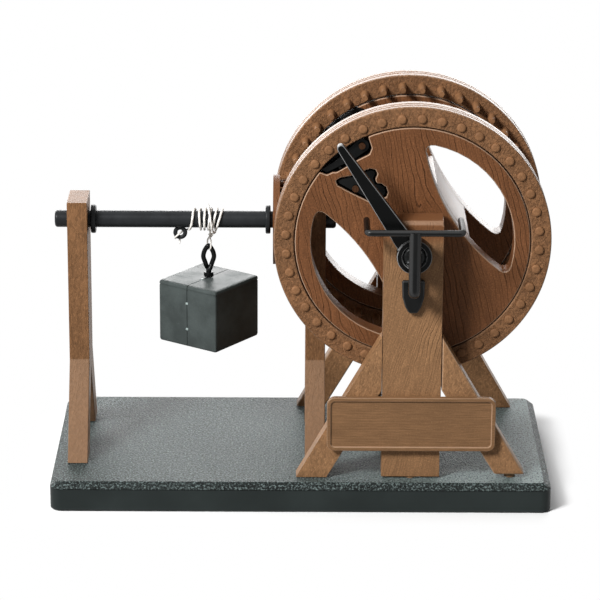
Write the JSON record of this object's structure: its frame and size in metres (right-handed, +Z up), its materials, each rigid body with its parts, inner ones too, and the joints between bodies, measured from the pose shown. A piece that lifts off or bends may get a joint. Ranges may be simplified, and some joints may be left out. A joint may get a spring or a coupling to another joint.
{
  "type": "crane model",
  "caption": "Hand-rocked reciprocating hoist model: two ratchet-driven pegged wheels turn a lantern pinion and shaft that wind a cord and lift a hanging weight.",
  "frame": {"origin": "centre of the underside of the base", "axes": "+X along the base from the drum's free end towards the wheels, +Y from the lever side to the back, +Z up"},
  "size_m": [0.22, 0.1222, 0.1774],
  "materials": {
    "dark_wood": "satin, oiled",
    "brown_wood": "satin, oiled",
    "ring_wood": "satin, oiled",
    "support_wood": "satin, oiled",
    "base_black": "black, pebble grain",
    "black_metal": "satin black",
    "twine": "matt",
    "black_plastic": "satin black"
  },
  "bodies": {
    "stand": {"base": "base_black", "front_post": "brown_wood", "front_left_leg": "brown_wood", "front_right_leg": "brown_wood", "rear_post": "brown_wood", "rear_left_leg": "brown_wood", "rear_right_leg": "brown_wood", "plaque": "brown_wood", "left_support": "support_wood", "right_support": "support_wood", "stop_yoke": "black_metal"},
    "rocker": {"lever": "black_metal", "lever_screw": "black_metal", "axle": "black_metal", "axle_cap": "black_plastic", "barrel": "dark_wood", "front_disc": "dark_wood", "rear_disc": "dark_wood", "front_pawl_pin": "dark_wood", "rear_pawl_pin": "dark_wood", "front_spring": "black_plastic", "rear_spring": "black_plastic", "front_spring_pin": "dark_wood", "rear_spring_pin": "dark_wood"},
    "front_wheel": {"front_ring": "ring_wood"},
    "rear_wheel": {"rear_ring": "ring_wood"},
    "front_pawl": {"front_pawl": "black_plastic"},
    "rear_pawl": {"rear_pawl": "black_plastic"},
    "drum": {"drum_shaft": "black_metal", "left_collar": "black_plastic", "right_collar": "black_plastic", "lantern_left_disc": "ring_wood", "lantern_right_disc": "ring_wood", "cord_winding": "twine", "stave_01": "ring_wood", "stave_02": "ring_wood", "stave_03": "ring_wood", "stave_04": "ring_wood", "stave_05": "ring_wood", "stave_06": "ring_wood", "stave_07": "ring_wood", "stave_08": "ring_wood", "stave_09": "ring_wood", "stave_10": "ring_wood", "stave_11": "ring_wood", "stave_12": "ring_wood"},
    "weight": {"weight_left_half": "black_plastic", "weight_right_half": "black_plastic", "weight_eye": "black_metal", "cord_fall": "twine"}
  },
  "joints": [
    {"name": "lever_swing", "type": "hinge", "parent": "stand", "child": "rocker", "pos_m": [0.0482, 0, 0.117], "axis": [0, 1, 0], "range_deg": [-9, 72]},
    {"name": "front_ring_turn", "type": "hinge", "parent": "stand", "child": "front_wheel", "pos_m": [0.0482, 0, 0.117], "axis": [0, -1, 0], "range_deg": [-117, 9]},
    {"name": "rear_ring_turn", "type": "hinge", "parent": "stand", "child": "rear_wheel", "pos_m": [0.0482, 0, 0.117], "axis": [0, -1, 0], "range_deg": [-9, 117]},
    {"name": "drum_turn", "type": "hinge", "parent": "stand", "child": "drum", "pos_m": [0, 0, 0.117], "axis": [1, 0, 0], "range_deg": [-390, 30]},
    {"name": "weight_lift", "type": "slide", "parent": "stand", "child": "weight", "axis": [0, 0, 1], "range_m": [-0.0423, 0.00335], "deforming": ["cord_fall"]},
    {"name": "front_pawl_drop", "type": "hinge", "parent": "rocker", "child": "front_pawl", "pos_m": [0.02584, -0.0296, 0.15959], "axis": [0, 1, 0], "range_deg": [0, 6.6]},
    {"name": "rear_pawl_drop", "type": "hinge", "parent": "rocker", "child": "rear_pawl", "pos_m": [0.01014, 0.0296, 0.14641], "axis": [0, -1, 0], "range_deg": [0, 6.6]}
  ],
  "couplings": [
    {"joint": "rear_ring_turn", "follows": "front_ring_turn", "ratio": -1},
    {"joint": "drum_turn", "follows": "front_ring_turn", "ratio": 3.3333},
    {"joint": "weight_lift", "follows": "front_ring_turn", "m_per_rad": 0.020667}
  ]
}
